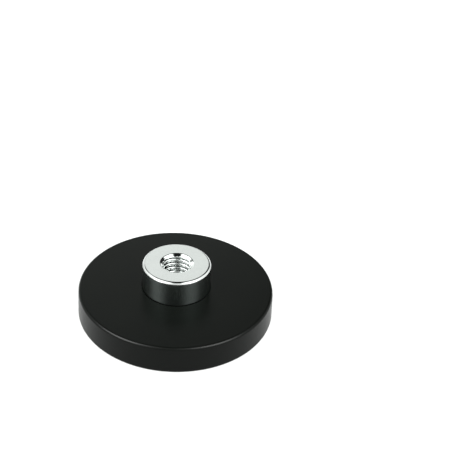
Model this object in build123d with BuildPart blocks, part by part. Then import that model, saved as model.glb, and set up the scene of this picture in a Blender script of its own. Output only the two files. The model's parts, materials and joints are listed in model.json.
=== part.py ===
from build123d import *
import os
from math import radians, tan

# Rubber-coated holding magnet with an internally threaded bush.
#
# A ring of small disc magnets sits on a steel plate, and black rubber is moulded round both. A steel
# bush is riveted through the middle of the plate and stands out of the rubber's plain back face. The
# other face, at z = 0, is the magnetic face that grips steel. +Z points out of the bush's thread.
#
# Everything is in millimetres.

# --- driving dimensions: rubber jacket ---
jacket_diameter = 50.0  # at the magnetic face
jacket_thickness = 7.3
jacket_draft = 2.0  # degrees; the side wall leans in towards the back face
rim_radius = 0.7  # rounding of both rims
face_skin = 0.8  # rubber over the magnets, on the magnetic face
back_skin = 1.2  # rubber over the plate, on the bush side

# --- driving dimensions: steel plate ---
plate_diameter = 46.4
plate_thickness = 1.8
plate_chamfer = 0.3

# --- driving dimensions: disc magnets ---
magnet_count = 8
magnet_diameter = 10.0
magnet_ring_radius = 17.0
magnet_chamfer = 0.3

# --- driving dimensions: threaded bush ---
bush_diameter = 17.3
bush_rise = 7.0  # height of the bush above the rubber
bush_edge_chamfer = 0.5
shank_diameter = 11.0  # the stretch of the bush inside the plate's hole
rivet_diameter = 13.4  # the head swaged over under the plate
rivet_thickness = 1.6
rivet_rounding = 0.5

# --- driving dimensions: M8 x 1.25 tapped hole, modelled at its tapping-drill size ---
drill_diameter = 6.8
drill_depth = 8.6  # to the end of the full diameter
drill_point_angle = 118.0
countersink_diameter = 8.5
countersink_angle = 120.0

# --- heights and radii that follow from them ---
plate_bottom = jacket_thickness - back_skin - plate_thickness
plate_top = plate_bottom + plate_thickness
magnet_thickness = plate_bottom - face_skin
bush_top = jacket_thickness + bush_rise
rivet_bottom = plate_bottom - rivet_thickness
drill_bottom = bush_top - drill_depth
drill_tip = drill_bottom - (drill_diameter / 2) / tan(radians(drill_point_angle / 2))
countersink_depth = (countersink_diameter - drill_diameter) / 2 / tan(radians(countersink_angle / 2))

os.makedirs("parts", exist_ok=True)

# --- base plate: a steel disc with a hole for the bush's shank ---
with BuildPart() as base_plate:
    with BuildSketch(Plane.XY.offset(plate_bottom)):
        Circle(plate_diameter / 2)
        Circle(shank_diameter / 2, mode=Mode.SUBTRACT)
    extrude(amount=plate_thickness)
    plate_rims = base_plate.edges().filter_by(GeomType.CIRCLE).group_by(SortBy.RADIUS)[-1]
    chamfer(plate_rims, length=plate_chamfer)
base_plate.part.label = "base_plate"
export_step(base_plate.part, "parts/base_plate.step")

# --- magnets: equal discs in a ring under the plate, poles alternating round the ring ---
magnets = []
for number in range(1, magnet_count + 1):
    ring_angle = 360.0 / magnet_count * (number - 1)
    magnet_centre = Vector(magnet_ring_radius, 0, face_skin).rotate(Axis.Z, ring_angle)
    with BuildPart() as magnet:
        with BuildSketch(Plane(origin=magnet_centre)):
            Circle(magnet_diameter / 2)
        extrude(amount=magnet_thickness)
        chamfer(magnet.edges().filter_by(GeomType.CIRCLE), length=magnet_chamfer)
    magnet.part.label = f"magnet_{number}"
    export_step(magnet.part, f"parts/magnet_{number}.step")
    magnets.append(magnet)

# --- threaded bush: head, shank through the plate, swaged rivet head, and the drilled hole ---
with BuildPart() as threaded_bush:
    with BuildSketch(Plane.XY.offset(plate_top)):
        Circle(bush_diameter / 2)
    extrude(amount=bush_top - plate_top)
    chamfer(threaded_bush.edges().group_by(Axis.Z)[-1], length=bush_edge_chamfer)

    with BuildSketch(Plane.XY.offset(rivet_bottom)):
        Circle(shank_diameter / 2)
    extrude(amount=plate_top - rivet_bottom)

    with BuildSketch(Plane.XY.offset(rivet_bottom)):
        Circle(rivet_diameter / 2)
    extrude(amount=rivet_thickness)
    fillet(threaded_bush.edges().group_by(Axis.Z)[0], radius=rivet_rounding)

    # The hole's half section, from the drill point up through the countersink.
    with BuildSketch(Plane.XZ):
        with BuildLine():
            Polyline(
                (0, drill_tip),
                (drill_diameter / 2, drill_bottom),
                (drill_diameter / 2, bush_top - countersink_depth),
                (countersink_diameter / 2, bush_top),
                (0, bush_top),
                close=True,
            )
        make_face()
    revolve(axis=Axis.Z, mode=Mode.SUBTRACT)
threaded_bush.part.label = "threaded_bush"
export_step(threaded_bush.part, "parts/threaded_bush.step")

# --- rubber jacket: moulded round everything, with the bush standing out of its back face ---
with BuildPart() as rubber_jacket:
    with BuildSketch(Plane.XY):
        Circle(jacket_diameter / 2)
    extrude(amount=jacket_thickness, taper=jacket_draft)
    fillet(rubber_jacket.edges().filter_by(GeomType.CIRCLE), radius=rim_radius)

    for insert in (base_plate, threaded_bush, *magnets):
        add(insert.part, mode=Mode.SUBTRACT)

    # No rubber enters the bush's hole, so the opening also takes in what the hole leaves empty.
    with BuildSketch(Plane.XY.offset(rivet_bottom)):
        Circle(shank_diameter / 2)
    extrude(amount=jacket_thickness - rivet_bottom, mode=Mode.SUBTRACT)
rubber_jacket.part.label = "rubber_jacket"
export_step(rubber_jacket.part, "parts/rubber_jacket.step")
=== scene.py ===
import json
import math

import bmesh
import bpy
from mathutils import Matrix, Vector


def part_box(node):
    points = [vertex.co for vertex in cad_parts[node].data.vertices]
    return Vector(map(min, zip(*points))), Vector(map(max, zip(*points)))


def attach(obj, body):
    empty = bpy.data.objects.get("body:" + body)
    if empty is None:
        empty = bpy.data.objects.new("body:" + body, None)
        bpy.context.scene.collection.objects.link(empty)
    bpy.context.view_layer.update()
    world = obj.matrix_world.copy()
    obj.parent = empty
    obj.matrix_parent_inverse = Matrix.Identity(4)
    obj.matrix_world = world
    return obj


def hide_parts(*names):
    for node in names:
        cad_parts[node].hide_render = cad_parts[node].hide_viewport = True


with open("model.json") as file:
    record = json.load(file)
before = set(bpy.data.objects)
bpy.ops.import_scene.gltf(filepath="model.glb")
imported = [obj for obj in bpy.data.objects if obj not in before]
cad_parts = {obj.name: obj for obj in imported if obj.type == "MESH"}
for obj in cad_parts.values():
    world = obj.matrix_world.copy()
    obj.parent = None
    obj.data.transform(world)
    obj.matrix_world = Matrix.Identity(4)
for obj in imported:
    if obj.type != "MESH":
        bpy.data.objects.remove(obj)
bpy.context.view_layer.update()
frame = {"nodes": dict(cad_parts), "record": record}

# A rubber-coated holding magnet with a threaded bush, lying on its magnetic face. Everything is in
# metres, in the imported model's frame: the origin is the centre of the magnetic face and +Z points
# out of the thread.

MM = 0.001

# --- sizes read from the frame ---
mounts = {mount["name"]: mount for mount in frame["record"]["mounts"]}
jacket_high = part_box("rubber_jacket")[1]
bush_low, bush_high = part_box("threaded_bush")
plate_low, plate_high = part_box("base_plate")
magnet_low, magnet_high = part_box("magnet_1")

JACKET_TOP = jacket_high.z
BUSH_RADIUS = bush_high.x
BUSH_TOP = bush_high.z
RIVET_BOTTOM = bush_low.z
PLATE_RADIUS = plate_high.x
PLATE_BOTTOM = plate_low.z
PLATE_TOP = plate_high.z
MAGNET_BOTTOM = magnet_low.z
MAGNET_RADIUS = (magnet_high.x - magnet_low.x) / 2
MAGNET_RING_RADIUS = (magnet_high.x + magnet_low.x) / 2
MAGNETS = [name for name in frame["nodes"] if name.startswith("magnet_")]

thread_middle = mounts["thread"]["pos_m"][2]
thread_length = mounts["thread"]["dims"]["length_mm"] * MM
DRILL_RADIUS = mounts["thread"]["dims"]["r_mm"] * MM
DRILL_BOTTOM = thread_middle - thread_length / 2
COUNTERSINK_DEPTH = BUSH_TOP - (thread_middle + thread_length / 2)
COUNTERSINK_SLOPE = math.tan(math.radians(60))  # of a 120 degree countersink
COUNTERSINK_RADIUS = DRILL_RADIUS + COUNTERSINK_DEPTH * COUNTERSINK_SLOPE

# --- sizes that the frame doesn't hold, as in the solid model ---
JACKET_RADIUS = 25 * MM  # at the magnetic face, before its rim is rounded
JACKET_DRAFT = math.radians(2)
RIM_ROUNDING = 0.7 * MM
SHANK_RADIUS = 5.5 * MM
RIVET_RADIUS = 6.7 * MM
RIVET_ROUNDING = 0.5 * MM
PLATE_CHAMFER = 0.3 * MM
DRILL_POINT_ANGLE = math.radians(118)

# --- finer detail that only the visual model has ---
RUBBER_LIP_ROUNDING = 0.35 * MM  # where the rubber meets the bush
BUSH_CHAMFER = 0.42 * MM  # with its rounded edges it looks as wide as the solid model's sharp 0.5 mm
FACE_EDGE_ROUNDING = 0.65 * MM  # the tumbled edge between the bush's face and chamfer
BUSH_EDGE_ROUNDING = 0.3 * MM  # the one between its chamfer and side
THREAD_PITCH = 1.25 * MM
THREAD_ROOT_RADIUS = 4.0 * MM
THREAD_ROOT_FLAT = THREAD_PITCH / 8
THREAD_FLANK_ANGLE = math.radians(30)
THREAD_ROUNDING = 0.11 * MM
THREAD_START_TURN = 0.05  # where round the hole the groove comes out at the top
THREAD_RUN_OUT = 1.6 * MM
COUNTERSINK_FLARE = 0.07 * MM  # the broken edge of the countersink
COUNTERSINK_FLARE_SLOPE = 5

REVOLVE_COLUMNS = 256
THREAD_COLUMNS = 192
THREAD_ROWS_PER_TURN = 32
SUPPORT = 0.06 * MM  # a flat face keeps this much beside an arc, so that its shading stays flat
SHARP_ANGLE = math.radians(38)
TINY = 1e-6

# --- pieces that a light of their own reaches ---
JACKET_PIECE = "moulded_rubber_jacket"
FLOOR_PIECE = "floor"


# --- mesh helpers ---
def rounded_outline(corners, steps=7):
    """A half outline of (radius, height) points from corners given as (radius, height, rounding)."""
    outline = []
    for index, (radius, height, rounding) in enumerate(corners):
        corner = Vector((radius, height))
        if rounding == 0:
            outline.append(corner)
            continue
        back = (Vector(corners[index - 1][:2]) - corner).normalized()
        ahead = (Vector(corners[index + 1][:2]) - corner).normalized()
        half_angle = back.angle(ahead) / 2
        tangent = rounding / math.tan(half_angle)
        centre = corner + (back + ahead).normalized() * (rounding / math.sin(half_angle))
        start = corner + back * tangent - centre
        end = corner + ahead * tangent - centre
        sweep = start.angle(end)
        outline.append(corner + back * (tangent + SUPPORT))
        for step in range(steps + 1):
            share = step / steps
            start_weight = math.sin((1 - share) * sweep) / math.sin(sweep)
            end_weight = math.sin(share * sweep) / math.sin(sweep)
            outline.append(centre + start * start_weight + end * end_weight)
        outline.append(corner + ahead * (tangent + SUPPORT))
    return outline


def add_revolved(mesh, outline, columns=REVOLVE_COLUMNS, centre=(0.0, 0.0)):
    """Adds an outline turned about a vertical axis to a bmesh, and returns its rings of vertices."""
    rings = []
    for radius, height in outline:
        if radius < TINY:
            rings.append([mesh.verts.new((centre[0], centre[1], height))])
            continue
        angles = [2 * math.pi * column / columns for column in range(columns)]
        places = [(centre[0] + radius * math.cos(a), centre[1] + radius * math.sin(a)) for a in angles]
        rings.append([mesh.verts.new((x, y, height)) for x, y in places])
    for first, second in zip(rings, rings[1:]):
        for column in range(columns):
            after = (column + 1) % columns
            if len(first) == 1:
                mesh.faces.new((first[0], second[after], second[column]))
            elif len(second) == 1:
                mesh.faces.new((first[column], first[after], second[0]))
            else:
                mesh.faces.new((first[column], first[after], second[after], second[column]))
    return rings


def ring_edges(ring):
    """The edges round a closed ring of vertices."""
    pairs = zip(ring, ring[1:] + ring[:1])
    return [
        edge
        for vertex, after in pairs
        for edge in vertex.link_edges
        if edge.other_vert(vertex) == after
    ]


def boundary_edges(mesh, height):
    """The open edges of a bmesh that lie at a height."""
    return [
        edge
        for edge in mesh.edges
        if edge.is_boundary and all(abs(vertex.co.z - height) < TINY for vertex in edge.verts)
    ]


def new_object(name, mesh, materials):
    """Makes an object, smooth but for its sharp edges, from a bmesh with its faces turned outwards."""
    bmesh.ops.recalc_face_normals(mesh, faces=mesh.faces)
    data = bpy.data.meshes.new(name)
    mesh.to_mesh(data)
    mesh.free()
    for material in materials:
        data.materials.append(material)
    data.shade_smooth()
    data.set_sharp_from_angle(angle=SHARP_ANGLE)
    piece = bpy.data.objects.new(name, data)
    bpy.context.scene.collection.objects.link(piece)
    return piece


def subtract(piece, cutter):
    """Cuts one object out of another for good, and removes the cutter."""
    modifier = piece.modifiers.new("cut", "BOOLEAN")
    modifier.operation = "DIFFERENCE"
    modifier.solver = "EXACT"
    modifier.object = cutter
    graph = bpy.context.evaluated_depsgraph_get()
    piece_cut = bpy.data.meshes.new_from_object(piece.evaluated_get(graph))
    piece.modifiers.clear()
    piece_cut.set_sharp_from_angle(angle=SHARP_ANGLE)
    piece.data = piece_cut
    bpy.data.objects.remove(cutter)


def stand_for(piece, node):
    """The piece takes a CAD node's place."""
    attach(piece, "root")
    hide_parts(node)


# --- material helpers ---
def new_material(name):
    """A node material, its node tree and its Principled shader."""
    material = bpy.data.materials.new(name)
    material.use_nodes = True
    tree = material.node_tree
    return material, tree, tree.nodes["Principled BSDF"]


def add_node(tree, kind, settings=None, **inputs):
    """Adds a node. Settings are its properties; inputs are socket values or other nodes' outputs."""
    node = tree.nodes.new(kind)
    for name, value in (settings or {}).items():
        setattr(node, name, value)
    for name, value in inputs.items():
        socket = node.inputs[name.replace("_", " ")]
        if isinstance(value, bpy.types.NodeSocket):
            tree.links.new(value, socket)
        else:
            socket.default_value = value
    return node


def object_place(tree):
    """The place on the object, in metres."""
    return add_node(tree, "ShaderNodeTexCoord").outputs["Object"]


def noise(tree, size, detail=2.0, place=None):
    """Noise whose patches are about a given size across, from 0 to 1."""
    place = place or object_place(tree)
    node = add_node(tree, "ShaderNodeTexNoise", Vector=place, Scale=1 / size, Detail=detail)
    return node.outputs["Fac"]


def spread(tree, value, low, high, source_low=0.3, source_high=0.7):
    """Maps a value from its source range to another range, and no further. The default suits noise."""
    node = add_node(tree, "ShaderNodeMapRange", {"clamp": True}, Value=value)
    node.inputs["From Min"].default_value = source_low
    node.inputs["From Max"].default_value = source_high
    node.inputs["To Min"].default_value = low
    node.inputs["To Max"].default_value = high
    return node.outputs["Result"]


def blend_colours(tree, factor, first, second):
    """Mixes two colours by a factor."""
    node = add_node(tree, "ShaderNodeMix", {"data_type": "RGBA"})
    tree.links.new(factor, node.inputs["Factor"])
    for socket, colour in zip([s for s in node.inputs if s.type == "RGBA"], (first, second)):
        socket.default_value = (*colour, 1.0)
    return next(s for s in node.outputs if s.type == "RGBA")


def bump(tree, height, distance, strength=1.0, normal=None):
    """Turns a height from 0 to 1 into a bumped normal."""
    node = add_node(tree, "ShaderNodeBump", Height=height, Distance=distance, Strength=strength)
    if normal:
        tree.links.new(normal, node.inputs["Normal"])
    return node.outputs["Normal"]


# --- materials ---
SIDE_TINT_AND_PAINTED_SHADE = (0.245, 0.278, 0.264)  # darker and greener than zinc: the green is the plating's own tone, the darkness is painted shade, the black rubber's reflection painted into the side
FACE_TINT = (0.79, 0.80, 0.795)
# painted shade: the chamfer's zinc is a darker copy of the face's, which dims its bright reflection
CHAMFER_TINT_AND_PAINTED_SHADE = (0.655, 0.66, 0.66)
# painted highlight: the hole's zinc is a lighter copy of the face's, which whitens the thread's
# reflections
HOLE_TINT_AND_PAINTED_LIGHT = (0.925, 0.94, 0.935)
SIDE_SPREAD = 0.7
ZINC_PATCH_TONE = 0.93  # the darkest patches of the plating, against its lightest
RUBBER_SPECULAR = 0.086  # low, for the photograph's deep black under this much light


def moulded_rubber():
    """Black satin rubber with the fine spark-eroded grain of its mould."""
    material, tree, shader = new_material("moulded_rubber")
    place = object_place(tree)
    patches = noise(tree, 9 * MM, 3.0, place)
    colour = blend_colours(tree, patches, (0.0008, 0.0010, 0.0008), (0.0012, 0.0015, 0.0012))
    grain = noise(tree, 0.3 * MM, 3.0, place)
    pits = add_node(tree, "ShaderNodeTexVoronoi", Vector=place, Scale=1 / (0.24 * MM)).outputs["Distance"]
    normal = bump(tree, grain, 0.012 * MM, 0.5)
    normal = bump(tree, pits, 0.006 * MM, 0.5, normal)
    rough = spread(tree, noise(tree, 1.4 * MM, 3.0, place), 0.28, 0.32)
    tree.links.new(colour, shader.inputs["Base Color"])
    tree.links.new(rough, shader.inputs["Roughness"])
    tree.links.new(normal, shader.inputs["Normal"])
    shader.inputs["Specular IOR Level"].default_value = RUBBER_SPECULAR
    return material


def turned_zinc(name, tint_and_painted_light, rough_low, rough_high, marks, mark_spacing, mark_depth, sideways_spread=0.0):
    """
    Bright zinc plating over turned steel, a little darker in patches. The tint also carries painted light:
    the side's and chamfer's copies are darker for painted shade, the hole's lighter for a painted
    highlight.

    Marks are the lathe's fine lines: RINGS on a face, BANDS on a side. The sideways spread, from 0
    to 1, smears reflections round the axis, as lines drawn along the bar do.
    """
    material, tree, shader = new_material(name)
    place = object_place(tree)
    patches = noise(tree, 2.6 * MM, 3.0, place)
    colour = blend_colours(tree, patches, Vector(tint_and_painted_light) * ZINC_PATCH_TONE, tint_and_painted_light)
    settings = {"wave_type": marks, "bands_direction": "Z", "rings_direction": "Z", "wave_profile": "SIN"}
    wave = add_node(tree, "ShaderNodeTexWave", settings, Vector=place)
    wave.inputs["Scale"].default_value = math.pi / 10 / mark_spacing  # at scale 1, lines are pi / 10 apart
    wave.inputs["Distortion"].default_value = 1.2
    wave.inputs["Detail"].default_value = 2.0
    wave.inputs["Detail Scale"].default_value = 1.5
    plating = noise(tree, 0.5 * MM, 2.0, place)
    normal = bump(tree, wave.outputs["Fac"], mark_depth, 0.6)
    normal = bump(tree, plating, 0.002 * MM, 0.4, normal)
    rough = spread(tree, noise(tree, 0.8 * MM, 3.0, place), rough_low, rough_high)
    tree.links.new(colour, shader.inputs["Base Color"])
    tree.links.new(rough, shader.inputs["Roughness"])
    tree.links.new(normal, shader.inputs["Normal"])
    shader.inputs["Metallic"].default_value = 1.0
    if sideways_spread:
        tangent = add_node(tree, "ShaderNodeTangent", {"direction_type": "RADIAL", "axis": "Z"})
        tree.links.new(tangent.outputs["Tangent"], shader.inputs["Tangent"])
        shader.inputs["Anisotropic"].default_value = sideways_spread
    return material


def dull_zinc():
    """Plain zinc plating over punched sheet steel, clouded and lightly scratched."""
    material, tree, shader = new_material("dull_zinc")
    place = object_place(tree)
    clouds = noise(tree, 4 * MM, 4.0, place)
    colour = blend_colours(tree, clouds, (0.50, 0.52, 0.525), (0.66, 0.68, 0.675))
    stretched = add_node(tree, "ShaderNodeMapping", Vector=place, Scale=(1.0, 14.0, 1.0)).outputs["Vector"]
    scratches = noise(tree, 1.5 * MM, 3.0, stretched)
    tree.links.new(colour, shader.inputs["Base Color"])
    tree.links.new(spread(tree, clouds, 0.28, 0.45), shader.inputs["Roughness"])
    tree.links.new(bump(tree, scratches, 0.004 * MM, 0.5), shader.inputs["Normal"])
    shader.inputs["Metallic"].default_value = 1.0
    return material


def nickel_plate():
    """Bright, slightly warm nickel plating over sintered magnet."""
    material, tree, shader = new_material("nickel_plate")
    place = object_place(tree)
    clouds = noise(tree, 1.8 * MM, 3.0, place)
    colour = blend_colours(tree, clouds, (0.60, 0.56, 0.50), (0.68, 0.64, 0.575))
    orange_peel = noise(tree, 0.25 * MM, 2.0, place)
    tree.links.new(colour, shader.inputs["Base Color"])
    tree.links.new(spread(tree, clouds, 0.12, 0.22), shader.inputs["Roughness"])
    tree.links.new(bump(tree, orange_peel, 0.003 * MM, 0.4), shader.inputs["Normal"])
    shader.inputs["Metallic"].default_value = 1.0
    return material


def pale_floor():
    """A plain, pale studio floor."""
    material, tree, shader = new_material("pale_floor")
    clouds = noise(tree, 0.35, 2.0)
    colour = blend_colours(tree, clouds, (0.60, 0.60, 0.60), (0.62, 0.62, 0.62))
    tree.links.new(colour, shader.inputs["Base Color"])
    shader.inputs["Roughness"].default_value = 0.75
    shader.inputs["Specular IOR Level"].default_value = 0.2
    return material


# --- rubber jacket ---
def magnet_pockets():
    """The magnets' shapes, all in one object, for cutting their pockets."""
    mesh = bmesh.new()
    above_plate_bottom = (PLATE_BOTTOM + PLATE_TOP) / 2
    for index in range(len(MAGNETS)):
        angle = 2 * math.pi * index / len(MAGNETS)
        centre = (MAGNET_RING_RADIUS * math.cos(angle), MAGNET_RING_RADIUS * math.sin(angle))
        outline = [(0, MAGNET_BOTTOM), (MAGNET_RADIUS, MAGNET_BOTTOM), (MAGNET_RADIUS, above_plate_bottom)]
        outline.append((0, above_plate_bottom))
        add_revolved(mesh, outline, REVOLVE_COLUMNS // 4, centre)
    return new_object("magnet_pockets", mesh, [])


def make_jacket():
    """The moulded rubber: plain outside, and inside the exact space of the plate, rivet and magnets."""
    corners = [
        (0, 0, 0),
        (JACKET_RADIUS, 0, RIM_ROUNDING),
        (JACKET_RADIUS - JACKET_TOP * math.tan(JACKET_DRAFT), JACKET_TOP, RIM_ROUNDING),
        (BUSH_RADIUS, JACKET_TOP, RUBBER_LIP_ROUNDING),
        (BUSH_RADIUS, PLATE_TOP, 0),
        (PLATE_RADIUS - PLATE_CHAMFER, PLATE_TOP, 0),
        (PLATE_RADIUS, PLATE_TOP - PLATE_CHAMFER, 0),
        (PLATE_RADIUS, PLATE_BOTTOM + PLATE_CHAMFER, 0),
        (PLATE_RADIUS - PLATE_CHAMFER, PLATE_BOTTOM, 0),
        (RIVET_RADIUS, PLATE_BOTTOM, 0),
        (RIVET_RADIUS, RIVET_BOTTOM, RIVET_ROUNDING),
        (0, RIVET_BOTTOM, 0),
    ]
    mesh = bmesh.new()
    add_revolved(mesh, rounded_outline(corners))
    jacket = new_object(JACKET_PIECE, mesh, [moulded_rubber()])
    subtract(jacket, magnet_pockets())
    stand_for(jacket, "rubber_jacket")


# --- threaded bush ---
def smooth_max(first, second, blend):
    """The larger of two values, rounded over where they meet."""
    overlap = max(blend - abs(first - second), 0.0) / blend
    return max(first, second) + overlap * overlap * blend / 4


def countersink_radius(height):
    """The countersink's radius at a height, flared a little at its top edge."""
    depth = BUSH_TOP - height
    cone = COUNTERSINK_RADIUS - depth * COUNTERSINK_SLOPE
    flare = COUNTERSINK_RADIUS + COUNTERSINK_FLARE - COUNTERSINK_FLARE_SLOPE * depth
    return smooth_max(cone, flare, COUNTERSINK_FLARE)


def tapped_radius(groove_distance, height):
    """The tapped hole's radius, from the distance up or down to the middle of the thread's groove."""
    beyond_flat = abs(groove_distance) - THREAD_ROOT_FLAT / 2
    flank = THREAD_ROOT_RADIUS - beyond_flat / math.tan(THREAD_FLANK_ANGLE)
    cut_share = min(max((height - DRILL_BOTTOM) / THREAD_RUN_OUT, 0.0), 1.0)
    root = DRILL_RADIUS + (THREAD_ROOT_RADIUS - DRILL_RADIUS) * cut_share
    groove = -smooth_max(-flank, -root, THREAD_ROUNDING)
    return smooth_max(groove, DRILL_RADIUS, THREAD_ROUNDING)


def add_tapped_hole(mesh):
    """Adds the hole's wall to an empty bmesh, in rows that follow the helix, and its drilled point."""
    turns = math.ceil((BUSH_TOP - DRILL_BOTTOM) / THREAD_PITCH) + 1
    rows = (turns + 1) * THREAD_ROWS_PER_TURN
    lowest = BUSH_TOP - turns * THREAD_PITCH
    lines = []
    for column in range(THREAD_COLUMNS):
        turn = column / THREAD_COLUMNS
        angle = 2 * math.pi * (turn + THREAD_START_TURN)
        line = []
        for row in range(rows + 1):
            phase = row / THREAD_ROWS_PER_TURN
            height = lowest + (phase + turn) * THREAD_PITCH
            groove_distance = (phase - round(phase)) * THREAD_PITCH
            radius = tapped_radius(groove_distance, height)
            radius = smooth_max(radius, countersink_radius(height), THREAD_ROUNDING / 2)
            line.append(mesh.verts.new((radius * math.cos(angle), radius * math.sin(angle), height)))
        lines.append(line)
    lines.append(lines[0][THREAD_ROWS_PER_TURN:])  # one turn round, the rows have climbed one pitch
    for line, after in zip(lines, lines[1:]):
        for row in range(len(after) - 1):
            mesh.faces.new((line[row], after[row], after[row + 1], line[row + 1]))
    for height, outwards in ((BUSH_TOP, 1), (DRILL_BOTTOM, -1)):
        everything = [*mesh.verts, *mesh.edges, *mesh.faces]
        bmesh.ops.bisect_plane(
            mesh, geom=everything, plane_co=(0, 0, height), plane_no=(0, 0, outwards), clear_outer=True
        )
    point_height = DRILL_BOTTOM - DRILL_RADIUS / math.tan(DRILL_POINT_ANGLE / 2)
    point = mesh.verts.new((0, 0, point_height))
    for edge in boundary_edges(mesh, DRILL_BOTTOM):
        mesh.faces.new((*edge.verts, point))
    return boundary_edges(mesh, BUSH_TOP)


def bush_materials():
    """The plating of the bush's side, face, chamfer and hole: one zinc in four tints, with painted shade
    in the darker side and chamfer and a painted highlight in the lighter hole.
    """
    side_marks = ("BANDS", 0.35 * MM, 0.0001 * MM)
    face_marks = ("RINGS", 0.4 * MM, 0.001 * MM)
    edge_marks = ("BANDS", 0.3 * MM, 0.0005 * MM)
    return [
        turned_zinc("turned_zinc_side", SIDE_TINT_AND_PAINTED_SHADE, 0.285, 0.30, *side_marks, SIDE_SPREAD),
        turned_zinc("turned_zinc_face", FACE_TINT, 0.14, 0.19, *face_marks),
        turned_zinc("turned_zinc_chamfer", CHAMFER_TINT_AND_PAINTED_SHADE, 0.08, 0.12, *edge_marks),
        turned_zinc("tapped_zinc", HOLE_TINT_AND_PAINTED_LIGHT, 0.05, 0.08, *edge_marks),
    ]


def make_bush():
    """The zinc-plated bush, with a true helical thread in its hole."""
    hole_edge = COUNTERSINK_RADIUS + COUNTERSINK_FLARE
    mesh = bmesh.new()
    hole_loop = add_tapped_hole(mesh)
    corners = [
        (hole_edge + SUPPORT, BUSH_TOP, 0),
        (BUSH_RADIUS - BUSH_CHAMFER, BUSH_TOP, FACE_EDGE_ROUNDING),
        (BUSH_RADIUS, BUSH_TOP - BUSH_CHAMFER, BUSH_EDGE_ROUNDING),
        (BUSH_RADIUS, PLATE_TOP, 0),
        (SHANK_RADIUS, PLATE_TOP, 0),
        (SHANK_RADIUS, PLATE_BOTTOM, 0),
        (RIVET_RADIUS, PLATE_BOTTOM, 0),
        (RIVET_RADIUS, RIVET_BOTTOM, RIVET_ROUNDING),
        (0, RIVET_BOTTOM, 0),
    ]
    rings = add_revolved(mesh, rounded_outline(corners, 5))
    bmesh.ops.bridge_loops(mesh, edges=hole_loop + ring_edges(rings[0]))
    side, face, chamfer, hole = range(4)  # in the order of bush_materials
    for polygon in mesh.faces:
        centre = polygon.calc_center_median()
        radius = centre.xy.length
        polygon.material_index = side
        if radius < hole_edge and centre.z > DRILL_BOTTOM - DRILL_RADIUS:
            polygon.material_index = hole
        elif centre.z > BUSH_TOP - TINY:
            polygon.material_index = face
        elif centre.z > BUSH_TOP - BUSH_CHAMFER - BUSH_EDGE_ROUNDING:
            polygon.material_index = chamfer
    bush = new_object("tapped_steel_bush", mesh, bush_materials())
    stand_for(bush, "threaded_bush")


# --- pieces that stay as the solid model has them ---
def finish_inner_pieces():
    """Gives the plate and the magnets their plating."""
    frame["nodes"]["base_plate"].material_slots[0].material = dull_zinc()
    nickel = nickel_plate()
    for name in MAGNETS:
        frame["nodes"][name].material_slots[0].material = nickel


# --- studio ---
FLOOR_HALF_WIDTH = 4.0
FLOOR_SEGMENTS = 8
FLOOR_LIGHT = 3.1
SOFTBOX_WIDTH = 0.5
SOFTBOXES = {  # places and powers
    "left_softbox": ((-0.547, -0.267, 0.608), 18.0),
    "right_softbox": ((0.486, -0.328, 0.629), 15.3),
}

# The tent round the object is a brightness for each direction: x is to the right, y to the back
# and z up. A later part lies over an earlier one.
TENT_COLOUR = (0.955, 1.0, 0.97, 1.0)
HORIZON_LEVEL = 1.05
TENT_LEVEL = 1.5  # overhead
PANELS = ((-0.60, -0.33, 0.72), (0.60, -0.40, 0.69))  # broad, at the front left and right
PANEL_LEVEL = 2.1
LAMPS = ((-0.73, -0.52, 0.45), (0.73, -0.52, 0.45))  # smaller, below the panels
LAMP_LEVEL = 5.0
GAP_LEVEL = 0.05
BACK_WALL_LEVEL = 1.0
FRONT_WALL_LEVEL = 0.80
CARD_LEVEL = 0.02
SLOT_LEVEL = 0.01
SLOT_WIDENING = 0.24  # the slot's left side goes this much further left for each step to the back
FLAG = (-0.50, 0.60, 0.62)
FLAG_LEVEL = 0.05


def make_floor():
    """A plain pale floor, far larger than the object."""
    mesh = bmesh.new()
    segments = FLOOR_SEGMENTS
    bmesh.ops.create_grid(mesh, x_segments=segments, y_segments=segments, size=FLOOR_HALF_WIDTH)
    floor = new_object(FLOOR_PIECE, mesh, [pale_floor()])


def light_only(lamp, lit):
    """Lets a light reach one object only, and no other object shade it."""
    lit_objects = bpy.data.collections.new(lamp.name + "_reach")
    lit_objects.objects.link(bpy.data.objects[lit])
    lamp.light_linking.receiver_collection = lit_objects
    lamp.light_linking.blocker_collection = lit_objects


def add_softbox(name, place, power):
    """A square soft light that faces the bush and reaches the rubber only."""
    light = bpy.data.lights.new(name, "AREA")
    light.shape = "SQUARE"
    light.size = SOFTBOX_WIDTH
    light.energy = power
    lamp = bpy.data.objects.new(name, light)
    lamp.location = place
    bush_middle = Vector((0, 0, BUSH_TOP / 2))
    lamp.rotation_euler = (bush_middle - lamp.location).to_track_quat("-Z", "Y").to_euler()
    bpy.context.scene.collection.objects.link(lamp)
    light_only(lamp, JACKET_PIECE)


def add_floor_light():
    """Even light that falls on the floor alone and casts no shadow, so that the floor stays white."""
    light = bpy.data.lights.new("floor_light", "SUN")
    light.energy = FLOOR_LIGHT
    lamp = bpy.data.objects.new("floor_light", light)
    bpy.context.scene.collection.objects.link(lamp)
    light_only(lamp, FLOOR_PIECE)


def math_node(tree, operation, *values):
    """A math node's output, from values or other nodes' outputs."""
    node = add_node(tree, "ShaderNodeMath", {"operation": operation})
    for socket, value in zip(node.inputs, values):
        if isinstance(value, bpy.types.NodeSocket):
            tree.links.new(value, socket)
        else:
            socket.default_value = value
    return node.outputs["Value"]


def rising(tree, value, start, end):
    """A mask that goes from 0 to 1 as a value goes from start to end."""
    return spread(tree, value, 0.0, 1.0, start, end)


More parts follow.
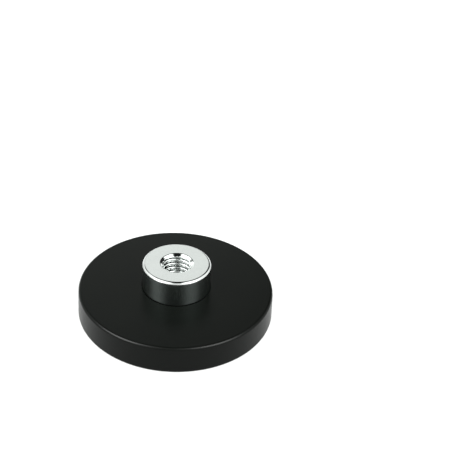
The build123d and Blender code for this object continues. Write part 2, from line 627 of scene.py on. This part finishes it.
def overlay(tree, level, masks, value):
    """Puts another brightness over a brightness where all the masks are 1."""
    mask = masks[0]
    for other in masks[1:]:
        mask = math_node(tree, "MULTIPLY", mask, other)
    node = add_node(tree, "ShaderNodeMix", {"data_type": "FLOAT"})
    factor, under, over = [socket for socket in node.inputs if socket.type == "VALUE"]
    tree.links.new(mask, factor)
    tree.links.new(level, under)
    over.default_value = value
    return next(socket for socket in node.outputs if socket.type == "VALUE")


def nearness(tree, direction, towards):
    """The cosine of the angle between a direction and a fixed one."""
    dot = add_node(tree, "ShaderNodeVectorMath", {"operation": "DOT_PRODUCT"})
    tree.links.new(direction, dot.inputs[0])
    dot.inputs[1].default_value = Vector(towards).normalized()
    return dot.outputs["Value"]


def make_surroundings():
    """
    A white tent with two bright panels, two lamps and the darker parts that the metal reflects.

    Those are a back wall with a dark gap above it, a grey front wall, a dark card at the back right, a
    dark slot overhead that runs from the front to the back, and a small flag at the back left.
    """
    world = bpy.data.worlds.new("tent")
    world.use_nodes = True
    tree = world.node_tree
    direction = add_node(tree, "ShaderNodeTexCoord").outputs["Generated"]
    x, y, z = add_node(tree, "ShaderNodeSeparateXYZ", Vector=direction).outputs
    aside = math_node(tree, "ABSOLUTE", x)
    slanted_x = math_node(tree, "MULTIPLY_ADD", y, SLOT_WIDENING, x)
    behind = rising(tree, y, 0.40, 0.50)
    level = spread(tree, z, HORIZON_LEVEL, TENT_LEVEL, 0.15, 0.35)
    for panel in PANELS:
        patch = rising(tree, nearness(tree, direction, panel), 0.82, 0.93)
        level = overlay(tree, level, [patch], PANEL_LEVEL)
    for lamp in LAMPS:
        patch = rising(tree, nearness(tree, direction, lamp), 0.940, 0.975)
        level = overlay(tree, level, [patch], LAMP_LEVEL)
    gap = [rising(tree, y, 0.15, 0.25), rising(tree, z, 0.68, 0.76), rising(tree, aside, 0.48, 0.42)]
    level = overlay(tree, level, gap, GAP_LEVEL)
    back_wall = [behind, rising(tree, aside, 0.55, 0.45)]
    back_wall += [rising(tree, z, 0.22, 0.32), rising(tree, z, 0.76, 0.68)]
    level = overlay(tree, level, back_wall, BACK_WALL_LEVEL)
    front_wall = [rising(tree, y, -0.40, -0.50), rising(tree, aside, 0.35, 0.25)]
    front_wall += [rising(tree, z, 0.70, 0.62)]
    level = overlay(tree, level, front_wall, FRONT_WALL_LEVEL)
    card = [behind, rising(tree, x, 0.04, 0.10), rising(tree, x, 0.66, 0.58), rising(tree, z, 0.22, 0.30)]
    level = overlay(tree, level, card, CARD_LEVEL)
    slot = [rising(tree, x, 0.28, 0.20), rising(tree, slanted_x, -0.28, -0.20)]
    slot += [rising(tree, y, -0.66, -0.46), rising(tree, z, 0.70, 0.78)]
    level = overlay(tree, level, slot, SLOT_LEVEL)
    flag = rising(tree, nearness(tree, direction, FLAG), 0.975, 0.990)
    level = overlay(tree, level, [flag], FLAG_LEVEL)
    background = tree.nodes["Background"]
    tree.links.new(level, background.inputs["Strength"])
    background.inputs["Color"].default_value = TENT_COLOUR
    bpy.context.scene.world = world
    bpy.context.scene.view_settings.view_transform = "Standard"


def make_lights():
    """Two softboxes for the rubber, a light for the floor, and the tent round them."""
    for name, (place, power) in SOFTBOXES.items():
        add_softbox(name, place, power)
    add_floor_light()
    make_surroundings()


# --- camera: above the front, with the object left of and below the middle of its view ---
VIEW_TILT = math.radians(32.8)  # its axis below the horizon
VIEW_ROLL = math.radians(3.69)
VIEW_TO_DISC = Vector((-12.46, -15.37, -222.94)) * MM  # the top of the disc, in the camera's own axes
VIEW_LENS = 69.66  # this and the sensor's width are in millimetres
VIEW_SENSOR = 36.0


def make_camera():
    """Places the camera from the tilt and roll of its axis and the disc's place in its view."""
    camera_data = bpy.data.cameras.new("camera")
    camera_data.sensor_width = VIEW_SENSOR
    camera_data.lens = VIEW_LENS
    camera_data.clip_start = 0.01
    camera = bpy.data.objects.new("camera", camera_data)
    bpy.context.scene.collection.objects.link(camera)
    turn = Matrix.Rotation(math.pi / 2 - VIEW_TILT, 3, "X") @ Matrix.Rotation(VIEW_ROLL, 3, "Z")
    camera.location = Vector((0, 0, JACKET_TOP)) - turn @ VIEW_TO_DISC
    camera.rotation_euler = turn.to_euler()
    bpy.context.scene.camera = camera


make_camera()
make_floor()
make_jacket()
make_bush()
finish_inner_pieces()
make_lights()

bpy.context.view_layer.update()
